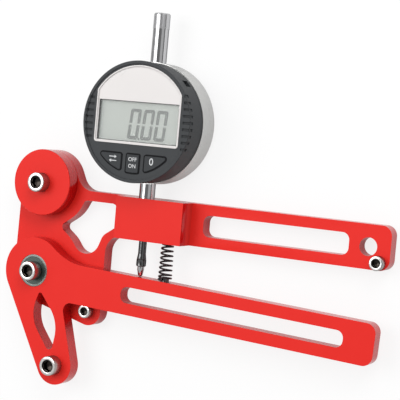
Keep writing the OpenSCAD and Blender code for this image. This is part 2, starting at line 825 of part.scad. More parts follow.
// A round tip on a sloping edge touches a little beside its lowest point.
tip_y = lever_edge(gauge_x) + contact_gap + tip_r * (1 / cos(rest_angle) - 1);
body_y = tip_y + tip_l;
spindle_y = body_y + body_l;
spindle_top = case_high + 6.5;

module spindle() {
    color([0.35, 0.36, 0.38])
    on_stem(spindle_y) cylinder(d = spindle_d, h = spindle_top - spindle_y);
}

// Collar with the sensor's slider; it runs behind the fixed rail.
module spindle_collar() {
    color([0.55, 0.5, 0.4])
    difference() {
        union() {
            on_stem(collar_y) cylinder(r = spindle_d / 2 + 1.8, h = collar_l);
            translate([gauge_x, collar_y, stem_z - 1.5]) cube([rail_x + rail_w, collar_l, 3]);
        }
        on_stem(collar_y - cut) cylinder(d = spindle_d, h = collar_l + 2 * cut);
    }
}

// Plunger spring, hidden in the case: a plain sleeve round the spindle.
module plunger_spring() {
    color([0.4, 0.4, 0.4])
    on_stem(collar_y + collar_l + 0.2)
        ring(spindle_d / 2 + 0.15, tube_bore - 0.1,
            case_high - wall - 2 - collar_y - collar_l - 0.4);
}

module contact_body() {
    color([0.42, 0.43, 0.45])
    on_stem(body_y) rotate_extrude() polygon([[0, 0], [body_d / 2 - 0.3, 0], [body_d / 2, 0.3],
        [body_d / 2, 4], [spindle_d / 2, body_l], [0, body_l]]);
}

module contact_tip() {
    color([0.85, 0.85, 0.83])
    on_stem(tip_y) rotate_extrude() intersection() {
        square([body_d, tip_l]);
        union() {
            translate([0, tip_r]) circle(r = tip_r);
            polygon([[0, tip_r], [tip_r, tip_r], [tip_d / 2, 3.2], [tip_d / 2, tip_l], [0, tip_l]]);
        }
    }
}

// ------------------------------------------------------------------ output

frame_plate();
upper_disc();
upper_post_screw();
pivot_screw();
pivot_spacer();
bearing_inner_ring();
bearing_balls();
opening_stop_screw();
closing_stop_screw();
stem_grub_screw();
return_spring();
lever_arm();
lower_post_screw();
bearing_outer_ring();
bearing_shields();
spring_pin();
gauge_case();
gauge_back_cover();
back_cover_screws();
gauge_bezel();
display_plate();
lcd_panel();
lcd_window();
circuit_board();
coin_cell();
battery_clip();
data_socket();
button_membrane();
stem_tube();
lower_bush();
upper_tube();
upper_bush();
tube_cap();
sensor_rail();
spindle();
spindle_collar();
plunger_spring();
contact_body();
contact_tip();
units_button();
power_button();
zero_button();
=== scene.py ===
# %% [markdown]
# # A spoke tension meter in Blender
# This hand tool measures how tight a wheel's spokes are. A frame and a sprung lever
# carry three posts that bend the spoke a little, and a digital indicator reads how far
# the lever moved. The working model is made elsewhere, in its real sizes, and comes
# in as a frame of named nodes. Here every surface gets its finish: the large pieces
# are bevelled copies of the nodes, and the turned, wound and printed pieces are
# modelled anew, at the places that the nodes give.
# %% Load the working model
import bmesh
import bpy
import json
import math
from mathutils import Matrix, Vector


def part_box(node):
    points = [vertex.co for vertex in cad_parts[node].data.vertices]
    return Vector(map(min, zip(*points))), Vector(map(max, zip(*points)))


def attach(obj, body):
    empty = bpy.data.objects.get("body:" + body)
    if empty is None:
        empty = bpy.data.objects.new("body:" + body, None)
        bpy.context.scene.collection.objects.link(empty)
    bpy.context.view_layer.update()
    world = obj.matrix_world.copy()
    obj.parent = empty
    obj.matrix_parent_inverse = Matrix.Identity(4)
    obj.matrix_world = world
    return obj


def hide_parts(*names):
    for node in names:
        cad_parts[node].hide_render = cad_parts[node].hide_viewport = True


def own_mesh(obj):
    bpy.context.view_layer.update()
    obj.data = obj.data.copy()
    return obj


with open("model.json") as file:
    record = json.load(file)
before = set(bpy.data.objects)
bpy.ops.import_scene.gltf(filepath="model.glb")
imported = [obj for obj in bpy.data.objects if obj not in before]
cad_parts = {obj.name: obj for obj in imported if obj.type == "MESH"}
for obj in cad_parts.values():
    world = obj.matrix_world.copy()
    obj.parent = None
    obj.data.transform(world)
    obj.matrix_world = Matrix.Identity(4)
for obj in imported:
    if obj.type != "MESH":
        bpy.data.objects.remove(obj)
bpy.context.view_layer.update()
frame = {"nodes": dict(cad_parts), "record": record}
nodes = frame["nodes"]
MM = 0.001


# %% [markdown]
# ## Camera
# The camera comes first, because it decides what has to look right. A photograph of
# this tool was solved for its camera: where the straight edges and round rims lie in
# the picture gives the place, the three turns and the focal length. The turns are
# applied in the order yaw, pitch, roll, so the matrix is written as that product.
# %% Camera
CAMERA_PLACE = Vector((382.76, 82.53, 594.31)) * MM
CAMERA_YAW = math.radians(26.52)
CAMERA_PITCH = math.radians(-3.1465)
CAMERA_ROLL = math.radians(5.0526)
SENSOR_WIDTH = 36
FOCAL_LENGTH = 118.49

camera_data = bpy.data.cameras.new("camera")
camera_data.sensor_width = SENSOR_WIDTH
camera_data.lens = FOCAL_LENGTH
camera_data.clip_start = 0.01
camera_data.clip_end = 20
camera = bpy.data.objects.new("camera", camera_data)
camera.matrix_world = (Matrix.Translation(CAMERA_PLACE) @ Matrix.Rotation(CAMERA_YAW, 4, "Y")
                       @ Matrix.Rotation(CAMERA_PITCH, 4, "X") @ Matrix.Rotation(CAMERA_ROLL, 4, "Z"))
bpy.context.scene.collection.objects.link(camera)
bpy.context.scene.camera = camera
bpy.context.scene.view_settings.view_transform = "Standard"
print("camera at", [round(value, 3) for value in CAMERA_PLACE])


# %% [markdown]
# ## Node helpers for the finishes
# Every finish is procedural: a Principled shader with noise that reads Object
# coordinates, so a pattern stays on its piece when the tool is posed. These helpers
# keep the finishes short. A stretched noise gives machining lines, an even one gives
# moulded grain, and both feed a roughness, a slight change of colour and a bump.
# %% Node helpers
def new_finish(name):
    """A new material, its node tree and its Principled shader."""
    finish = bpy.data.materials.new(name)
    finish.use_nodes = True
    tree = finish.node_tree
    return finish, tree, tree.nodes["Principled BSDF"]


def add_node(tree, kind, **inputs):
    """A new node with some of its inputs set; an underscore in a name stands for a space."""
    node = tree.nodes.new(kind)
    for key, value in inputs.items():
        node.inputs[key.replace("_", " ")].default_value = value
    return node


def object_noise(tree, stretch, detail=3.0):
    """Noise on Object coordinates; stretch is how many lumps a metre holds along X, Y and Z."""
    place = tree.nodes.new("ShaderNodeTexCoord")
    mapping = add_node(tree, "ShaderNodeMapping", Scale=stretch)
    noise = add_node(tree, "ShaderNodeTexNoise", Scale=1.0, Detail=detail)
    tree.links.new(place.outputs["Object"], mapping.inputs["Vector"])
    tree.links.new(mapping.outputs["Vector"], noise.inputs["Vector"])
    return noise.outputs["Fac"]


def between(tree, factor, low, high, start=0.3, end=0.7):
    """A number that runs from low to high while factor runs from start to end."""
    ranged = add_node(tree, "ShaderNodeMapRange", From_Min=start, From_Max=end,
                      To_Min=low, To_Max=high)
    tree.links.new(factor, ranged.inputs["Value"])
    return ranged.outputs["Result"]


def blend_colours(tree, factor, first, second):
    """The first colour where factor is 0 and the second where it is 1."""
    mix = tree.nodes.new("ShaderNodeMix")
    mix.data_type = "RGBA"
    tree.links.new(factor, mix.inputs["Factor"])
    for socket, colour in ((mix.inputs["A"], first), (mix.inputs["B"], second)):
        if isinstance(colour, tuple):
            socket.default_value = (*colour, 1)
        else:
            tree.links.new(colour, socket)
    return mix.outputs["Result"]


def add_bump(tree, shader, height, distance):
    """Raises and sinks the surface by up to distance, in metres, as height says."""
    bump = add_node(tree, "ShaderNodeBump", Distance=distance, Strength=1.0)
    tree.links.new(height, bump.inputs["Height"])
    tree.links.new(bump.outputs["Normal"], shader.inputs["Normal"])


# %% [markdown]
# ## Helpers that look at the piece itself
# Some finishes change over one piece: a wall is glossier than a face, and a groove's
# floor carries painted shade, darker than the skin round it. The piece's own normal and its Object
# coordinates say where that is, and neither changes when the tool is posed or the camera moves.
# %% Where on a piece
def upright(tree, start, end):
    """1 on walls and 0 on flat faces, from how far the piece's own normal leans away from Z."""
    place = tree.nodes.new("ShaderNodeTexCoord")
    split = tree.nodes.new("ShaderNodeSeparateXYZ")
    facing = tree.nodes.new("ShaderNodeMath")
    facing.operation = "ABSOLUTE"
    tree.links.new(place.outputs["Normal"], split.inputs["Vector"])
    tree.links.new(split.outputs["Z"], facing.inputs[0])
    return between(tree, facing.outputs["Value"], 1, 0, start=start, end=end)


def place_along(tree, axis):
    """Where a point of the piece lies along X, Y or Z, in metres."""
    place = tree.nodes.new("ShaderNodeTexCoord")
    split = tree.nodes.new("ShaderNodeSeparateXYZ")
    tree.links.new(place.outputs["Object"], split.inputs["Vector"])
    return split.outputs[axis]


# %% [markdown]
# ## Red anodised aluminium
# The frame, the lever and the disc are cut from aluminium plate, blasted and dyed. The
# flat faces are a bright satin red. The walls were milled, so they are smoother, and
# the metal under the dye mirrors what lies beside them. One material does both: the
# piece's own normal tells a face from a wall, and only a wall is partly metallic and
# has a thin clear coat over its dye.
# %% Red anodised finish
RED_FACE = ((0.70, 0.017, 0.012), (0.74, 0.022, 0.015))
RED_WALL = ((0.46, 0.008, 0.010), (0.60, 0.013, 0.015))
WALL_METAL = 0.7
WALL_COAT = 0.5
BLAST_GRAIN = (7000, 7000, 7000)
BLAST_DEPTH = 0.000012
DYE_CLOUDS = (60, 60, 60)
CUTTER_PASSES = (60, 60, 1800)


def make_red_anodised():
    """Blasted and dyed aluminium plate, with milled walls."""
    finish, tree, shader = new_finish("red_anodised")
    wall = upright(tree, start=0.3, end=0.85)
    blasted = object_noise(tree, BLAST_GRAIN, detail=2)
    cloudy = object_noise(tree, DYE_CLOUDS, detail=2)
    passes = object_noise(tree, CUTTER_PASSES, detail=2)
    face_red = blend_colours(tree, cloudy, *RED_FACE)
    wall_red = blend_colours(tree, passes, *RED_WALL)
    tree.links.new(blend_colours(tree, wall, face_red, wall_red), shader.inputs["Base Color"])

    satin = between(tree, blasted, 0.40, 0.50)
    milled = between(tree, passes, 0.22, 0.32)
    rough = tree.nodes.new("ShaderNodeMix")
    tree.links.new(wall, rough.inputs["Factor"])
    tree.links.new(satin, rough.inputs["A"])
    tree.links.new(milled, rough.inputs["B"])
    tree.links.new(rough.outputs["Result"], shader.inputs["Roughness"])
    tree.links.new(between(tree, wall, 0, WALL_METAL, start=0, end=1), shader.inputs["Metallic"])
    tree.links.new(between(tree, wall, 0, WALL_COAT, start=0, end=1), shader.inputs["Coat Weight"])
    shader.inputs["Coat Roughness"].default_value = 0.14
    shader.inputs["Coat IOR"].default_value = 1.7
    shader.inputs["IOR"].default_value = 1.25
    add_bump(tree, shader, blasted, distance=BLAST_DEPTH)
    return finish


# %% [markdown]
# ## Metals
# Bright screws, ground steel, the case and the spindle are all bare metal, and differ
# in tone, in how rough they are and in their machining lines. A turned piece has lines
# round its axis: noise that is squeezed along that axis gives them. A drawn or pressed
# piece has lines along its axis, so there the noise is squeezed across it.
# %% Metal finishes
EVEN = (5000, 5000, 5000)
ROUND_Y = (300, 9000, 300)
ALONG_Y = (3000, 60, 3000)
ROUND_Z = (300, 300, 6000)
LINE_DEPTH = 0.000004


def make_metal(name, dark, light, rough, lines, rim=1.0):
    """Bare metal between two tones, with machining lines; rim is how bright its edges mirror."""
    finish, tree, shader = new_finish(name)
    marks = object_noise(tree, lines, detail=4)
    tree.links.new(blend_colours(tree, marks, dark, light), shader.inputs["Base Color"])
    tree.links.new(between(tree, marks, *rough), shader.inputs["Roughness"])
    add_bump(tree, shader, marks, distance=LINE_DEPTH)
    shader.inputs["Metallic"].default_value = 1.0
    shader.inputs["Specular Tint"].default_value = (rim, rim, rim, 1)
    return finish


# %% [markdown]
# ## The metal of the screws
# A screw's head has three looks: on the real tool the flat ring round the socket is
# polished and the side is dull, and the socket, which lies in shade, is painted nearly black as painted
# shade. The normal tells the ring from the side. The socket faces in as many directions as the side does,
# so its points carry a number of their own, and the finish reads it by its name.
# %% Screw metal
SOCKET_SHADE_MARK = "socket"
# Painted shade for the screw sockets.
SOCKET_SHADE_BLACK = (0.035, 0.030, 0.026)
SCREW_GRAIN_DEPTH = 0.000003


def make_screw_metal():
    """Plated steel with a polished ring, a dull side and painted shade in the socket."""
    finish, tree, shader = new_finish("bright_screw")
    marks = object_noise(tree, EVEN, detail=3)
    wall = upright(tree, start=0.94, end=0.99)
    socket_shade = tree.nodes.new("ShaderNodeAttribute")
    socket_shade.attribute_name = SOCKET_SHADE_MARK
    polished = blend_colours(tree, marks, (0.74, 0.73, 0.71), (0.80, 0.79, 0.77))
    dull = blend_colours(tree, marks, (0.36, 0.35, 0.33), (0.52, 0.50, 0.48))
    outside = blend_colours(tree, wall, polished, dull)
    # Painted shade: the socket's points take a near-black tone.
    tree.links.new(blend_colours(tree, socket_shade.outputs["Fac"], outside, SOCKET_SHADE_BLACK),
                   shader.inputs["Base Color"])
    tree.links.new(between(tree, wall, 0.16, 0.34, start=0, end=1), shader.inputs["Roughness"])
    shader.inputs["Specular Tint"].default_value = (0.4, 0.4, 0.4, 1)
    add_bump(tree, shader, marks, distance=SCREW_GRAIN_DEPTH)
    shader.inputs["Metallic"].default_value = 1.0
    return finish


# %% [markdown]
# ## Plastics and rubber
# The buttons are dark and soft, the mat under them is almost black, and the display
# plate is smooth and pale. All of them are moulded, so they share one recipe: slow
# clouds between two close tones, and a grain that is as fine as the mould's surface.
# %% Plastic finishes
MOULDED_CLOUDS = (90, 90, 90)
MOULDED_DEPTH = 0.00001
SMOOTH_DEPTH = 0.000004
PRINTED_DEPTH = 0.000002


def make_plastic(name, dark, light, rough, grain, depth=MOULDED_DEPTH, ior=1.45):
    """Moulded plastic or rubber between two close tones, with an even grain."""
    finish, tree, shader = new_finish(name)
    texture = object_noise(tree, (grain, grain, grain), detail=3)
    clouds = object_noise(tree, MOULDED_CLOUDS, detail=2)
    tree.links.new(blend_colours(tree, clouds, dark, light), shader.inputs["Base Color"])
    tree.links.new(between(tree, texture, *rough), shader.inputs["Roughness"])
    shader.inputs["IOR"].default_value = ior
    add_bump(tree, shader, texture, distance=depth)
    return finish


# %% [markdown]
# ## The housing
# The indicator's housing is a dark grey moulding. Shallow grooves on both sides give
# the fingers a grip, and shade is painted on their floors, so they look darker than the skin round them.
# The floors lie at two known heights, so a point that lies at one of them is in a groove.
# %% Housing finish
SHADED_GROOVE_FLOORS = (28.85, 29.45)
FLOOR_TOLERANCE = 0.00008
HOUSING_TONES = ((0.031, 0.034, 0.037), (0.038, 0.041, 0.044))
# Painted shade for the floors of the grip grooves.
GROOVE_PAINTED_SHADE = (0.018, 0.020, 0.022)
HOUSING_GRAIN = (6000, 6000, 6000)


def make_housing_plastic():
    """Dark grey plastic, with shade painted on the floors of the grip grooves."""
    finish, tree, shader = new_finish("dark_plastic")
    grain = object_noise(tree, HOUSING_GRAIN, detail=3)
    clouds = object_noise(tree, MOULDED_CLOUDS, detail=2)
    skin = blend_colours(tree, clouds, *HOUSING_TONES)
    height = place_along(tree, "Z")
    # Painted shade: points on the groove floors take a darker tone.
    for floor_height in SHADED_GROOVE_FLOORS:
        in_shaded_groove = tree.nodes.new("ShaderNodeMath")
        in_shaded_groove.operation = "COMPARE"
        in_shaded_groove.inputs[1].default_value = floor_height * MM
        in_shaded_groove.inputs[2].default_value = FLOOR_TOLERANCE
        tree.links.new(height, in_shaded_groove.inputs[0])
        skin = blend_colours(tree, in_shaded_groove.outputs["Value"], skin, GROOVE_PAINTED_SHADE)
    tree.links.new(skin, shader.inputs["Base Color"])
    tree.links.new(between(tree, grain, 0.42, 0.55), shader.inputs["Roughness"])
    shader.inputs["IOR"].default_value = 1.3
    add_bump(tree, shader, grain, distance=MOULDED_DEPTH)
    return finish


# %% [markdown]
# ## The display
# The panel is pale green, with a painted shadow along its left edge: a darker tone that
# follows the panel's own X coordinate stands in for the shade that falls there. The window over it lets
# light through with only a faint gloss, and its cut edges are painted black as shade, so that the walls
# round the opening look dark.
# %% Display finishes
PANEL_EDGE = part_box("lcd_window")[0].x
PANEL_SHADOW_WIDTH = 3.2 * MM
PANEL_SHADOW_SHARE = 0.55
PANEL_TONES = ((0.345, 0.373, 0.345), (0.365, 0.393, 0.365))
# Painted shadow along the panel's left edge.
PANEL_SHADOW_TONE = (0.10, 0.115, 0.11)
WINDOW_TONES = ((0.95, 0.97, 0.96), (0.98, 0.99, 0.98))
# Painted shade: the window's cut edges are black.
WINDOW_EDGE_SHADE = (0.03, 0.03, 0.032)


def make_panel():
    """The display's pale green panel, with a painted shadow along its left edge."""
    finish, tree, shader = new_finish("lcd_glass")
    ripple = object_noise(tree, (3000, 3000, 3000), detail=3)
    clouds = object_noise(tree, MOULDED_CLOUDS, detail=2)
    pale = blend_colours(tree, clouds, *PANEL_TONES)
    # Painted shadow: the panel darkens towards its left edge.
    painted_shadow = between(tree, place_along(tree, "X"), PANEL_SHADOW_SHARE, 0,
                   start=PANEL_EDGE, end=PANEL_EDGE + PANEL_SHADOW_WIDTH)
    tree.links.new(blend_colours(tree, painted_shadow, pale, PANEL_SHADOW_TONE), shader.inputs["Base Color"])
    tree.links.new(between(tree, ripple, 0.30, 0.40), shader.inputs["Roughness"])
    shader.inputs["IOR"].default_value = 1.45
    add_bump(tree, shader, ripple, distance=PRINTED_DEPTH)
    return finish


def make_window():
    """The clear window over the panel, with edges painted black as shade."""
    finish, tree, shader = new_finish("clear_window")
    edge = upright(tree, start=0.3, end=0.6)
    smear = object_noise(tree, (150, 150, 150), detail=3)
    clear = blend_colours(tree, smear, *WINDOW_TONES)
    # Painted shade: the window's edges are made black and opaque.
    tree.links.new(blend_colours(tree, edge, clear, WINDOW_EDGE_SHADE), shader.inputs["Base Color"])
    tree.links.new(between(tree, smear, 0.03, 0.08), shader.inputs["Roughness"])
    tree.links.new(between(tree, edge, 0.05, 1, start=0, end=1), shader.inputs["Alpha"])
    shader.inputs["IOR"].default_value = 1.45
    return finish


# %% [markdown]
# ## One finish for each material slot
# The record of the working model names a material slot for every node. The finishes
# are kept under those names, so a new piece takes the same finish as the node that it
# stands for.
# %% Every finish by its material slot
finishes = {
    "red_anodised": make_red_anodised(),
    "bright_screw": make_screw_metal(),
    "bearing_steel": make_metal("bearing_steel", (0.16, 0.18, 0.17), (0.24, 0.26, 0.24),
                                (0.20, 0.30), EVEN),
    "bearing_shield": make_metal("bearing_shield", (0.055, 0.075, 0.068), (0.085, 0.105, 0.095),
                                 (0.34, 0.46), EVEN, rim=0.4),
    "dark_steel": make_metal("dark_steel", (0.08, 0.08, 0.082), (0.17, 0.17, 0.172),
                             (0.12, 0.22), ROUND_Y, rim=0.25),
    "spring_wire": make_metal("spring_wire", (0.035, 0.026, 0.026), (0.075, 0.055, 0.06),
                              (0.20, 0.32), EVEN),
    "case_metal": make_metal("case_metal", (0.52, 0.52, 0.51), (0.62, 0.62, 0.61),
                             (0.26, 0.40), ROUND_Z),
    "polished_steel": make_metal("polished_steel", (0.44, 0.44, 0.45), (0.60, 0.60, 0.61),
                                 (0.08, 0.15), ROUND_Y, rim=0.15),
    "cap_metal": make_metal("cap_metal", (0.40, 0.40, 0.41), (0.66, 0.66, 0.67),
                            (0.22, 0.40), ALONG_Y, rim=0.5),
    "bush_brass": make_metal("bush_brass", (0.62, 0.46, 0.20), (0.72, 0.55, 0.26),
                             (0.22, 0.34), ROUND_Y),
    "dark_plastic": make_housing_plastic(),
    "pale_plastic": make_plastic("pale_plastic", (0.63, 0.605, 0.595), (0.65, 0.625, 0.615),
                                 (0.32, 0.42), 4000, SMOOTH_DEPTH),
    "lcd_glass": make_panel(),
    "black_plastic": make_plastic("black_plastic", (0.006, 0.006, 0.007), (0.010, 0.010, 0.011),
                                  (0.35, 0.5), 5000),
    "black_rubber": make_plastic("black_rubber", (0.004, 0.004, 0.005), (0.007, 0.007, 0.008),
                                 (0.6, 0.75), 7000, ior=1.25),
    "dark_rubber": make_plastic("dark_rubber", (0.030, 0.033, 0.036), (0.038, 0.041, 0.044),
                                (0.5, 0.62), 5000, ior=1.3),
    "board": make_plastic("board", (0.02, 0.15, 0.07), (0.03, 0.20, 0.09), (0.35, 0.5), 2500),
    "clear_window": make_window(),
}
print("finishes:", len(finishes))


# %% [markdown]
# ## Two finishes that the working model has no slot for
# The display's segments and the marks on the buttons are thin prints. They take the
# slot of what they are printed on, and a tone of their own.
# %% Prints
segment_grey = make_plastic("segment_grey", (0.115, 0.128, 0.120), (0.130, 0.143, 0.135),
                            (0.35, 0.45), 3000, PRINTED_DEPTH)
mark_white = make_plastic("mark_white", (0.50, 0.51, 0.52), (0.58, 0.59, 0.60),
                          (0.45, 0.55), 4000, SMOOTH_DEPTH)
print("prints:", segment_grey.name, mark_white.name)


# %% [markdown]
# ## From a bmesh to a piece
# Every new piece stands for a node of the working model, so that node tells which body
# it moves with and which finish it gets. One helper makes the object, and leaves it at
# the origin with its place in its mesh, so that patterns on Object coordinates stay put.
# %% Helper that makes a piece
body_of_node = {name: body for body, names in frame["record"]["behaviour"]["bodies"].items()
                for name in names}
slot_of_node = {part["node"]: part["material_slot"] for part in frame["record"]["subparts"]}
print("nodes with a slot:", len(slot_of_node))


def place_piece(name, bm, like, finish=None, smooth=None):
    """A piece of a bmesh, with the body, the slot and, unless told otherwise, the finish of a node."""
    mesh = bpy.data.meshes.new(name)
    bm.to_mesh(mesh)
    bm.free()
    mesh.shade_smooth()
    if smooth is not None:
        mesh.set_sharp_from_angle(angle=math.radians(smooth))
    piece = bpy.data.objects.new(name, mesh)
    bpy.context.scene.collection.objects.link(piece)
    slot = slot_of_node[like]
    mesh.materials.append(finish or finishes[slot])
    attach(piece, body_of_node[like])
    print(name, "has", len(mesh.polygons), "faces")
    return piece


# %% [markdown]
# ## Bevelled copies of the working nodes
# A machined edge is never perfectly sharp: it is broken by about a third of a
# millimetre, and that narrow strip catches the light. A node's mesh may not be
# changed, so a copy is merged, its flat faces are joined, and the convex edges are
# bevelled. Weighted normals keep the flat faces flat up to the bevel.
# %% Helpers that bevel a copy
MERGE_WITHIN = 0.000001
FLAT_WITHIN = 0.5
SHARP_FROM = 30
BEVEL_SEGMENTS = 3


def weigh_normals(piece):
    """Lets the large faces decide the shading, so that they look flat up to the bevel."""
    modifier = piece.modifiers.new("flat faces", "WEIGHTED_NORMAL")
    modifier.keep_sharp = True
    modifier.weight = 100


def bevel_sharp_edges(bm, width):
    """Breaks the convex edges by a width in metres."""
    sharp = [edge for edge in bm.edges
             if edge.is_convex and edge.calc_face_angle(0) > math.radians(SHARP_FROM)]
    bmesh.ops.bevel(bm, geom=sharp, offset=width, offset_type="OFFSET", segments=BEVEL_SEGMENTS,
                    profile=0.5, affect="EDGES", material=-1, clamp_overlap=True)


def copy_node(node):
    """A node's mesh as a bmesh, merged, with each flat face made whole."""
    bm = bmesh.new()
    bm.from_mesh(nodes[node].data)
    bmesh.ops.remove_doubles(bm, verts=bm.verts, dist=MERGE_WITHIN)
    bmesh.ops.dissolve_limit(bm, angle_limit=math.radians(FLAT_WITHIN), verts=bm.verts, edges=bm.edges)
    return bm


def bevelled_piece(name, node, width):
    """A bevelled copy of a node that takes the node's place; width is in metres."""
    bm = copy_node(node)
    bevel_sharp_edges(bm, width)
    piece = place_piece(name, bm, node)
    weigh_normals(piece)
    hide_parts(node)
    return piece


# %% [markdown]
# ## The bevelled pieces
# The plates get the widest broken edge, the plastic mouldings a smaller one, and the
# small screws the smallest.
# %% Bevelled pieces
BEVELLED = {
    "frame_body": ("frame_plate", 0.45),
    "upper_disc_body": ("upper_disc", 0.45),
    "lever_body": ("lever_arm", 0.45),
    "case_body": ("gauge_case", 0.25),
    "back_cover": ("gauge_back_cover", 0.2),
    "cover_screws": ("back_cover_screws", 0.12),
    "housing": ("gauge_bezel", 0.15),
    "display_surround": ("display_plate", 0.12),
    "button_mat": ("button_membrane", 0.1),
    "units_key_cap": ("units_button", 0.25),
    "power_key_cap": ("power_button", 0.25),
    "zero_key_cap": ("zero_button", 0.25),
    "bearing_race_outer": ("bearing_outer_ring", 0.25),
    "bearing_race_inner": ("bearing_inner_ring", 0.2),
    "grub_screw": ("stem_grub_screw", 0.25),
}
for name, (node, width) in BEVELLED.items():
    bevelled_piece(name, node, width * MM)


# %% [markdown]
# ## Turned pieces
# A screw, a contact and a spindle are made on a lathe, and in Blender the spin operator
# is the lathe: half of the outline is drawn as a few points and turned round Z. Where
# the outline touches the axis, the copies of that point are merged into one.
# %% Lathe helpers
SPUN_MERGE = 0.0000005


def place_of(node):
    """Lowest corner, highest corner and centre of a node, in millimetres."""
    low, high = (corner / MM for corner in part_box(node))
    return low, high, (low + high) / 2


def turned(profile, steps):
    """Turns points (radius, height) in millimetres round Z into a closed bmesh."""
    bm = bmesh.new()
    verts = [bm.verts.new((radius * MM, 0, height * MM)) for radius, height in profile]
    edges = [bm.edges.new(pair) for pair in zip(verts, verts[1:])]
    bmesh.ops.spin(bm, geom=verts + edges, cent=(0, 0, 0), axis=(0, 0, 1), angle=math.tau,
                   steps=steps, use_merge=True)
    bmesh.ops.remove_doubles(bm, verts=bm.verts, dist=SPUN_MERGE)
    bmesh.ops.recalc_face_normals(bm, faces=bm.faces)
    return bm


def set_down(bm, place, turn=None):
    """Moves a bmesh to a place in millimetres, turned first if asked."""
    matrix = Matrix.Translation(Vector(place) * MM)
    if turn is not None:
        matrix = matrix @ turn
    bmesh.ops.transform(bm, matrix=matrix, verts=bm.verts)


# %% [markdown]
# ## Socket-head screws
# Three large screws are the spoke posts and the pivot, and two small ones stop the
# lever. A head has a broken outer edge, a bright flat ring, a countersink, a hexagon
# socket and a drilled cone at its bottom. The head is turned first, with the socket as
# a plain hole, and then the hole's two rings of points are drawn in to a hexagon.
# %% Screw helpers
SCREW_STEPS = 48
COS_30 = math.cos(math.radians(30))
SOCKET_SHARE = 0.55
COUNTERSINK = 0.75
HEXAGON_BELOW = 0.78
ON_SOCKET_WALL = 0.001


def socket_profile(thread, head, ring, hexagon, seat, low, high):
    """Half outline of a screw from its tip, along its head, to the bottom of its socket."""
    corner = hexagon / 2 / COS_30
    depth = (high - seat) * SOCKET_SHARE
    return [(0, low), (thread - 0.4, low), (thread, low + 0.4), (thread, seat),
            (head - 0.15, seat), (head, seat + 0.15), (head, high - 0.35), (head - 0.1, high - 0.12),
            (head - 0.35, high), (ring, high), (ring - 0.12, high - 0.04), (corner, high - COUNTERSINK),
            (corner, high - 0.8), (corner, high - depth), (corner * 0.72, high - depth - 0.1),
            (0, high - depth - corner * 0.45)]


def draw_in_to_hexagon(bm, hexagon, top):
    """Moves the socket's round wall, below top, onto a hexagon of that width across its flats."""
    corner = hexagon / 2 / COS_30
    for vert in bm.verts:
        radius = math.hypot(vert.co.x, vert.co.y) / MM
        if abs(radius - corner) < ON_SOCKET_WALL and vert.co.z / MM < top:
            angle = math.degrees(math.atan2(vert.co.y, vert.co.x)) % 60
            shrink = COS_30 / math.cos(math.radians(angle - 30))
            vert.co.x *= shrink
            vert.co.y *= shrink


def mark_socket_shade(bm, ring, seat):
    """Writes 1 on the points inside the ring, above the head's seat; the finish paints shade there."""
    layer = bm.verts.layers.float.new(SOCKET_SHADE_MARK)
    for vert in bm.verts:
        inside = math.hypot(vert.co.x, vert.co.y) / MM < ring - 0.05
        vert[layer] = float(inside and vert.co.z / MM > seat)


# %% [markdown]
# ## The five screws
# Each line names the node that the screw stands for, then its head's height, its
# thread's radius, its ring's inner radius and its hexagon's width across the flats, all
# in millimetres, and last how far the screw happens to be turned, in degrees.
# %% Screws
SCREWS = {
    "upper_post": ("upper_post_screw", 6, 3, 3.45, 5, 8),
    "pivot_post": ("pivot_screw", 6, 3, 3.45, 5, 25),
    "lower_post": ("lower_post_screw", 6, 3, 3.45, 5, 40),
    "opening_stop": ("opening_stop_screw", 4, 2, 2.3, 3, 15),
    "closing_stop": ("closing_stop_screw", 4, 2, 2.3, 3, 35),
}
for name, (node, head_height, thread, ring, hexagon, twist) in SCREWS.items():
    low, high, centre = place_of(node)
    head = (high.x - low.x) / 2
    seat = high.z - head_height
    bm = turned(socket_profile(thread, head, ring, hexagon, seat, low.z, high.z), SCREW_STEPS)
    mark_socket_shade(bm, ring, seat)
    draw_in_to_hexagon(bm, hexagon, high.z - HEXAGON_BELOW)
    set_down(bm, (centre.x, centre.y, 0), Matrix.Rotation(math.radians(twist), 4, "Z"))
    screw = place_piece(name, bm, node, smooth=28)
    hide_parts(node)


# %% [markdown]
# ## Contact body
# The indicator's spindle carries a small contact body, which is knurled so that it can
# be unscrewed by hand. The body is turned as a plain cylinder of 60 columns, and every
# second column is pressed in a little, which gives the ribs of the knurl.
# %% Contact body
SPINDLE_TURN = Matrix.Rotation(math.radians(-90), 4, "X")
KNURL_COLUMNS = 60
KNURL_DEPTH = 0.14
KNURL_SHARE = 0.52

low, high, centre = place_of("contact_body")
body_radius = (high.x - low.x) / 2
spindle_low, spindle_high, _ = place_of("spindle")
spindle_radius = (spindle_high.x - spindle_low.x) / 2
length = high.y - low.y
knurl_top = length * KNURL_SHARE
bm = turned([(0, 0), (body_radius - 0.35, 0), (body_radius, 0.35), (body_radius, 0.6),
             (body_radius, knurl_top), (body_radius, knurl_top + 0.15),
             (body_radius - 0.2, knurl_top + 0.4), (spindle_radius + 0.35, knurl_top + 0.8),
             (spindle_radius + 0.1, length - 0.7),
             (spindle_radius, length), (0, length)], KNURL_COLUMNS)
press = 1 - KNURL_DEPTH / body_radius
for vert in bm.verts:
    column = round(math.degrees(math.atan2(vert.co.y, vert.co.x)) / (360 / KNURL_COLUMNS))
    if column % 2 and 0.5 < vert.co.z / MM < knurl_top + 0.05:
        vert.co.x *= press
        vert.co.y *= press
set_down(bm, (centre.x, low.y, centre.z), SPINDLE_TURN)
contact = place_piece("contact", bm, "contact_body", smooth=35)
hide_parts("contact_body")


# %% [markdown]
# ## Contact tip
# The bright tip is a blunt nose that rests on the lever. Its nose is an arc, worked out
# in steps of 15 degrees, and a slim cone leads from there to the contact body.
# %% Contact tip
NOSE_RADIUS = 1.25
NOSE_ANGLES = range(0, 76, 15)

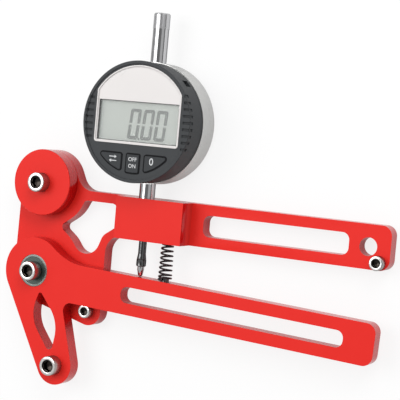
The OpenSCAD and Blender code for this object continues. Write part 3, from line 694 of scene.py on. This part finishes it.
low, high, centre = place_of("contact_tip")
tip_radius = (high.x - low.x) / 2
nose_arc = [(NOSE_RADIUS * math.sin(math.radians(angle)),
             NOSE_RADIUS - NOSE_RADIUS * math.cos(math.radians(angle))) for angle in NOSE_ANGLES]
bm = turned(nose_arc + [(tip_radius - 0.1, 3.1), (tip_radius, 3.3), (tip_radius, high.y - low.y),
                        (0, high.y - low.y)], SCREW_STEPS)
set_down(bm, (centre.x, low.y, centre.z), SPINDLE_TURN)
tip = place_piece("contact_point", bm, "contact_tip", smooth=35)
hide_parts("contact_tip")


# %% [markdown]
# ## The helix of the return spring
# The spring is wound of round wire, with closed turns at both ends and a slight taper.
# The wire, the pitches and the turns at the ends are those of the working model, and
# how many open turns lie between them follows from the height of its node.
# %% Helix
WIRE = 0.95
CROWN_DIAMETER = 6.4
OPEN_PITCH = 2.41
CLOSED_PITCH = 1.41
FOOT_TURNS = 1.5
CROWN_TURNS = 1

low, high, centre = place_of("return_spring")
foot_diameter = high.x - low.x
open_turns = (high.y - low.y - WIRE - (FOOT_TURNS + CROWN_TURNS) * CLOSED_PITCH) / OPEN_PITCH
spring_turns = FOOT_TURNS + open_turns + CROWN_TURNS
print("spring turns:", round(spring_turns, 2))


def coil_point(turn):
    """Where the wire's centre is after a number of turns from the foot, in millimetres."""
    rise = (CLOSED_PITCH * min(turn, FOOT_TURNS)
            + OPEN_PITCH * max(0, min(turn - FOOT_TURNS, open_turns))
            + CLOSED_PITCH * max(0, turn - FOOT_TURNS - open_turns))
    radius = (foot_diameter + (CROWN_DIAMETER - foot_diameter) * turn / spring_turns - WIRE) / 2
    angle = -math.tau * turn - math.pi / 2
    return Vector((centre.x + radius * math.cos(angle), low.y + WIRE / 2 + rise,
                   centre.z - radius * math.sin(angle)))


# %% [markdown]
# ## The return spring
# A curve through the points of the helix, with a round bevel, is the easiest way to
# make such a wire, and it is turned into a mesh before it takes its place. When the
# lever closes, the spring is pressed towards its top; here it only gets a mesh of its own, and no squash
# is set up.
# %% Return spring
RINGS_A_TURN = 28


def mesh_of(curve):
    """The finished mesh of a curve or a text, as a bmesh."""
    holder = bpy.data.objects.new(curve.name, curve)
    bpy.context.scene.collection.objects.link(holder)
    made = holder.evaluated_get(bpy.context.evaluated_depsgraph_get())
    mesh = bpy.data.meshes.new_from_object(made)
    bm = bmesh.new()
    bm.from_mesh(mesh)
    bpy.data.objects.remove(holder)
    bpy.data.meshes.remove(mesh)
    bmesh.ops.remove_doubles(bm, verts=bm.verts, dist=MERGE_WITHIN)
    return bm


steps = math.ceil(spring_turns * RINGS_A_TURN)
wire = bpy.data.curves.new("wire", "CURVE")
wire.dimensions = "3D"
wire.bevel_depth = WIRE / 2 * MM
wire.bevel_resolution = 4
wire.use_fill_caps = True
coil = wire.splines.new("POLY")
coil.points.add(steps)
for index, point in enumerate(coil.points):
    point.co = (*(coil_point(spring_turns * index / steps) * MM), 1)
bm = mesh_of(wire)
bmesh.ops.recalc_face_normals(bm, faces=bm.faces)
spring = place_piece("spring", bm, "return_spring", smooth=50)
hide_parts("return_spring")
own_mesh(spring)


# %% [markdown]
# ## Plunger spring
# A second, thinner spring inside the indicator pushes the spindle out. It is closed in,
# so a copy of its node is enough. On the real tool its top end stays where it is and the rest
# gives way by as much as the spindle travels; no such motion is set up here, and the copy only gets a
# mesh of its own.
# %% Plunger spring
low, high, centre = place_of("plunger_spring")
plunger_coil = place_piece("plunger_coil", copy_node("plunger_spring"), "plunger_spring", smooth=50)
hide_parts("plunger_spring")
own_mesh(plunger_coil)


# %% [markdown]
# ## Shapes of the display's digits
# Behind the window lies a pale panel with grey segments that show 0.00. Each nought is
# two arches with a gap between them, as on any such display, leaning a little to the
# right. An arch is one flat face, and extruding it gives the segment its thickness.
# %% Digit helpers
DIGIT_WIDTH = 6.2
DIGIT_HALF = 7.6
STROKE = 1.7
CORNER = 0.9
HALF_GAP = 0.45
SEGMENT_HEIGHT = 0.04
SLANT = math.tan(math.radians(5.2))


def add_flat_shape(bm, outline, height):
    """Adds a flat shape of the given outline, in millimetres, with a thickness along Z."""
    verts = [bm.verts.new((x * MM, y * MM, 0)) for x, y in outline]
    face = bm.faces.new(verts)
    made = bmesh.ops.extrude_face_region(bm, geom=[face])
    tops = [item for item in made["geom"] if isinstance(item, bmesh.types.BMVert)]
    bmesh.ops.translate(bm, verts=tops, vec=(0, 0, height * MM))


def half_nought(side, centre_x):
    """Outline of the upper (side 1) or lower (side -1) arch of a nought."""
    out, inner, top = DIGIT_WIDTH / 2, DIGIT_WIDTH / 2 - STROKE, DIGIT_HALF
    arch = [(-out, HALF_GAP), (-out, top - CORNER), (-out + CORNER, top), (out - CORNER, top),
            (out, top - CORNER), (out, HALF_GAP), (inner, HALF_GAP), (inner, top - STROKE),
            (-inner, top - STROKE), (-inner, HALF_GAP)]
    return [(x + centre_x + SLANT * side * y, side * y) for x, y in arch]


# %% [markdown]
# ## The digits
# Three noughts and a decimal point stand proud of the panel by a few hundredths of a
# millimetre, so that they are real shapes and not a picture.
# %% Display segments
DIGIT_CENTRES = (-1.85, 5.6, 13.05)
DIGIT_RISE = -1.1
DOT_X = 1.15
DOT_Y = -7.1
DOT_HALF = 0.5
PRINT_GAP = 0.01

panel_top = place_of("lcd_panel")[1].z
gauge_centre = place_of("gauge_bezel")[2]
bm = bmesh.new()
for centre_x in DIGIT_CENTRES:
    for side in (1, -1):
        add_flat_shape(bm, half_nought(side, centre_x), SEGMENT_HEIGHT)
dot_corners = [(-DOT_HALF, -DOT_HALF), (DOT_HALF, -DOT_HALF), (DOT_HALF, DOT_HALF), (-DOT_HALF, DOT_HALF)]
add_flat_shape(bm, [(DOT_X + x, DOT_Y + y) for x, y in dot_corners], SEGMENT_HEIGHT)
bmesh.ops.recalc_face_normals(bm, faces=bm.faces)
bmesh.ops.triangulate(bm, faces=bm.faces)
set_down(bm, (gauge_centre.x, gauge_centre.y + DIGIT_RISE, panel_top + PRINT_GAP))
place_piece("display_segments", bm, "lcd_panel", finish=segment_grey, smooth=30)


# %% [markdown]
# ## Dark ring round the display
# A thin dark ring between the panel and the window is painted shade: it darkens the edges of the opening,
# where shadow falls. A grid of one face is inset by the ring's width, its middle is deleted, and the ring
# that is left is drawn up to just under the window.
# %% Painted shade ring
SHADE_RING_WIDTH = 0.35
SHADE_RING_LIFT = 0.02
window_low, window_high, window_centre = place_of("lcd_window")
bm = bmesh.new()
bmesh.ops.create_grid(bm, x_segments=1, y_segments=1, size=0.5)
bmesh.ops.scale(bm, vec=((window_high.x - window_low.x) * MM, (window_high.y - window_low.y) * MM, 1),
                verts=bm.verts)
middle = list(bm.faces)
bmesh.ops.inset_individual(bm, faces=middle, thickness=SHADE_RING_WIDTH * MM)
bmesh.ops.delete(bm, geom=middle, context="FACES")
made = bmesh.ops.extrude_face_region(bm, geom=list(bm.faces))
tops = [item for item in made["geom"] if isinstance(item, bmesh.types.BMVert)]
bmesh.ops.translate(bm, verts=tops, vec=(0, 0, (window_low.z - panel_top - 2 * SHADE_RING_LIFT) * MM))
bmesh.ops.recalc_face_normals(bm, faces=bm.faces)
set_down(bm, (window_centre.x, window_centre.y, panel_top + SHADE_RING_LIFT))
# This dark ring is painted shade round the display window.
place_piece("display_shade_ring", bm, "button_membrane", smooth=30)


# %% [markdown]
# ## Marks on the buttons
# The buttons carry small pale prints: a pair of arrows to change the units, OFF and ON,
# and a nought to set the reading to zero. The arrows are flat shapes. The letters come
# from Blender's own font, are made a mesh, and rest on the cap that they belong to.
# %% Helpers for the marks
MARK_HEIGHT = 0.03
MARK_GAP = 0.005
CAPITAL_SHARE = 0.7
LETTER_WEIGHT = 0.00003


def put_mark(name, bm, button, x, y):
    """Lays a print on a button's cap; x and y are from the indicator's centre."""
    cap_top = place_of(button)[1].z
    set_down(bm, (gauge_centre.x + x, gauge_centre.y + y, cap_top + MARK_GAP))
    place_piece(name, bm, button, finish=mark_white, smooth=30)


def word(text, size):
    """A word as a thin solid, centred on the origin; size is the letters' height in millimetres."""
    letters = bpy.data.curves.new(text, "FONT")
    letters.body = text
    letters.size = size * MM / CAPITAL_SHARE
    letters.extrude = MARK_HEIGHT / 2 * MM
    letters.offset = LETTER_WEIGHT
    letters.align_x = "CENTER"
    letters.align_y = "CENTER"
    bm = mesh_of(letters)
    bmesh.ops.translate(bm, verts=bm.verts, vec=(0, 0, MARK_HEIGHT / 2 * MM))
    return bm


# %% [markdown]
# ## The four marks
# Two arrows that point both ways say that one key swaps the units. Each is one flat
# outline, and the second is the first one turned half round.
# %% Marks on their keys
ARROW_RISE = 1.0
ARROW = [(-2.1, -0.22), (0.9, -0.22), (0.9, -0.85), (2.1, 0), (0.9, 0.85), (0.9, 0.22), (-2.1, 0.22)]
bm = bmesh.new()
add_flat_shape(bm, [(x, y + ARROW_RISE) for x, y in ARROW], MARK_HEIGHT)
add_flat_shape(bm, [(-x, -y - ARROW_RISE) for x, y in ARROW], MARK_HEIGHT)
bmesh.ops.recalc_face_normals(bm, faces=bm.faces)
bmesh.ops.triangulate(bm, faces=bm.faces)
put_mark("units_mark", bm, "units_button", -11.2, -18.9)
put_mark("off_mark", word("OFF", 1.9), "power_button", 0, -18.6)
put_mark("on_mark", word("ON", 1.9), "power_button", 0, -21.9)
put_mark("zero_mark", word("0", 3.4), "zero_button", 10.6, -19.0)


# %% [markdown]
# ## The remaining nodes
# Pieces that are closed in, or whose plain turned shape is already right, keep their
# node and only take its slot's finish.
# %% Finishes of the carried-over nodes
for node, part in nodes.items():
    part.data.materials.clear()
    part.data.materials.append(finishes[slot_of_node[node]])
    part.data.shade_smooth()
    part.data.set_sharp_from_angle(angle=math.radians(30))


# %% [markdown]
# ## The floor's finish
# The tool lies on a plain pale floor. To the camera and to reflections the floor shows
# part of its light as its own, so that it looks white and still keeps the soft shadow.
# Light Path tells what kind of ray arrives, and the largest share that applies is used.
# %% Floor finish
FLOOR_GLOW = 0.83
MIRRORED_GLOW = 0.30
FLOOR_TONES = ((0.86, 0.86, 0.86), (0.88, 0.88, 0.88))
FLOOR_SPECKLE = (40, 40, 40)


def make_floor_finish():
    """A pale floor that partly glows to the camera, to mirrors and through glass."""
    finish, tree, shader = new_finish("pale_floor")
    shader.inputs["Roughness"].default_value = 0.9
    speckle = object_noise(tree, FLOOR_SPECKLE, detail=2)
    tree.links.new(blend_colours(tree, speckle, *FLOOR_TONES), shader.inputs["Base Color"])
    shader.inputs["Specular IOR Level"].default_value = 0.0
    glow = add_node(tree, "ShaderNodeEmission", Color=(1, 1, 1, 1), Strength=1.0)
    path = tree.nodes.new("ShaderNodeLightPath")
    share = None
    for ray, glow_share in (("Is Camera Ray", FLOOR_GLOW), ("Is Glossy Ray", MIRRORED_GLOW),
                            ("Is Transmission Ray", FLOOR_GLOW)):
        part = between(tree, path.outputs[ray], 0, glow_share, start=0, end=1)
        if share is not None:
            larger = tree.nodes.new("ShaderNodeMath")
            larger.operation = "MAXIMUM"
            tree.links.new(share, larger.inputs[0])
            tree.links.new(part, larger.inputs[1])
            part = larger.outputs["Value"]
        share = part
    mix = tree.nodes.new("ShaderNodeMixShader")
    tree.links.new(share, mix.inputs["Fac"])
    tree.links.new(shader.outputs["BSDF"], mix.inputs[1])
    tree.links.new(glow.outputs["Emission"], mix.inputs[2])
    tree.links.new(mix.outputs["Shader"], tree.nodes["Material Output"].inputs["Surface"])
    return finish


# %% [markdown]
# ## The floor
# One large flat face is enough. It lies a hair under the tool, so that the two never
# share a surface. It isn't part of the tool.
# %% Floor
FLOOR_SIZE = 6.0
FLOOR_GAP = 0.0002

floor_mesh = bpy.data.meshes.new("floor")
bm = bmesh.new()
bmesh.ops.create_grid(bm, x_segments=1, y_segments=1, size=FLOOR_SIZE / 2)
bmesh.ops.translate(bm, verts=bm.verts, vec=(0, 0, -FLOOR_GAP))
bm.to_mesh(floor_mesh)
bm.free()
floor = bpy.data.objects.new("floor", floor_mesh)
floor_mesh.materials.append(make_floor_finish())
bpy.context.scene.collection.objects.link(floor)
print("floor is", FLOOR_SIZE, "metres wide")


# %% [markdown]
# ## The studio round the tool
# Polished metal only looks like metal when it has something dark to reflect. So the
# studio is bright all round at middle height, dark near the horizon, and has one dark
# patch overhead, where a photographer's hood would be. A colour ramp on the height of
# the direction gives the first two, and the angle to one direction gives the patch.
# %% Studio
HOOD_DIRECTION = (0.292, 0.0, 0.956)
HOOD_TONE = 0.35
HOOD_EDGE = math.cos(math.radians(26))
HOOD_CORE = math.cos(math.radians(19))
STUDIO_LEVEL = 0.72
TONE_STOPS = ((0.0, 0.10), (0.14, 0.16), (0.30, 0.88), (0.75, 0.95), (1.0, 0.90))

world = bpy.data.worlds.new("studio")
bpy.context.scene.world = world
world.use_nodes = True
sky = world.node_tree
background = sky.nodes["Background"]
direction = sky.nodes.new("ShaderNodeTexCoord")
height = sky.nodes.new("ShaderNodeSeparateXYZ")
sky.links.new(direction.outputs["Generated"], height.inputs["Vector"])
tone = sky.nodes.new("ShaderNodeValToRGB")
while len(tone.color_ramp.elements) < len(TONE_STOPS):
    tone.color_ramp.elements.new(0.5)
for stop, (position, level) in zip(tone.color_ramp.elements, TONE_STOPS):
    stop.position = position
    stop.color = (level, level, level, 1)
sky.links.new(height.outputs["Z"], tone.inputs["Fac"])
aim = sky.nodes.new("ShaderNodeVectorMath")
aim.operation = "DOT_PRODUCT"
aim.inputs[1].default_value = HOOD_DIRECTION
sky.links.new(direction.outputs["Generated"], aim.inputs[0])
hood = between(sky, aim.outputs["Value"], 1.0, HOOD_TONE, start=HOOD_EDGE, end=HOOD_CORE)
shade = sky.nodes.new("ShaderNodeMath")
shade.operation = "MULTIPLY"
shade.inputs[1].default_value = STUDIO_LEVEL
sky.links.new(hood, shade.inputs[0])
sky.links.new(tone.outputs["Color"], background.inputs["Color"])
sky.links.new(shade.outputs["Value"], background.inputs["Strength"])
print("studio tones:", len(TONE_STOPS))


# %% [markdown]
# ## The backdrop
# The camera itself doesn't look at that studio. It sees a plain pale backdrop in its
# place, from every side, while the tool is still lit by the studio and mirrors it.
# %% Backdrop
BACKDROP_TONE = (0.97, 0.97, 0.97, 1)

backdrop = add_node(sky, "ShaderNodeBackground", Color=BACKDROP_TONE, Strength=1.0)
ray = sky.nodes.new("ShaderNodeLightPath")
seen = sky.nodes.new("ShaderNodeMixShader")
sky.links.new(ray.outputs["Is Camera Ray"], seen.inputs["Fac"])
sky.links.new(background.outputs["Background"], seen.inputs[1])
sky.links.new(backdrop.outputs["Background"], seen.inputs[2])
sky.links.new(seen.outputs["Shader"], sky.nodes["World Output"].inputs["Surface"])


# %% [markdown]
# ## Lamps
# A large lamp above and to the left gives the short soft shadows, and a smaller one
# from the upper right brightens the handles' ends.
# %% Lamps
LAMPS = {
    "main_lamp": {"place": (-0.42, 0.28, 1.0), "size": 0.8, "power": 6.0},
    "fill_lamp": {"place": (0.45, 0.62, 0.6), "size": 0.5, "power": 3.2},
}
LAMP_AIM = Vector((0.08, 0.04, 0.01))

for name, lamp in LAMPS.items():
    lamp_data = bpy.data.lights.new(name, "AREA")
    lamp_data.shape = "DISK"
    lamp_data.size = lamp["size"]
    lamp_data.energy = lamp["power"]
    lamp_object = bpy.data.objects.new(name, lamp_data)
    lamp_object.location = lamp["place"]
    aim = LAMP_AIM - Vector(lamp["place"])
    lamp_object.rotation_euler = aim.to_track_quat("-Z", "Y").to_euler()
    bpy.context.scene.collection.objects.link(lamp_object)
    print(name, "has", lamp["power"], "watts")
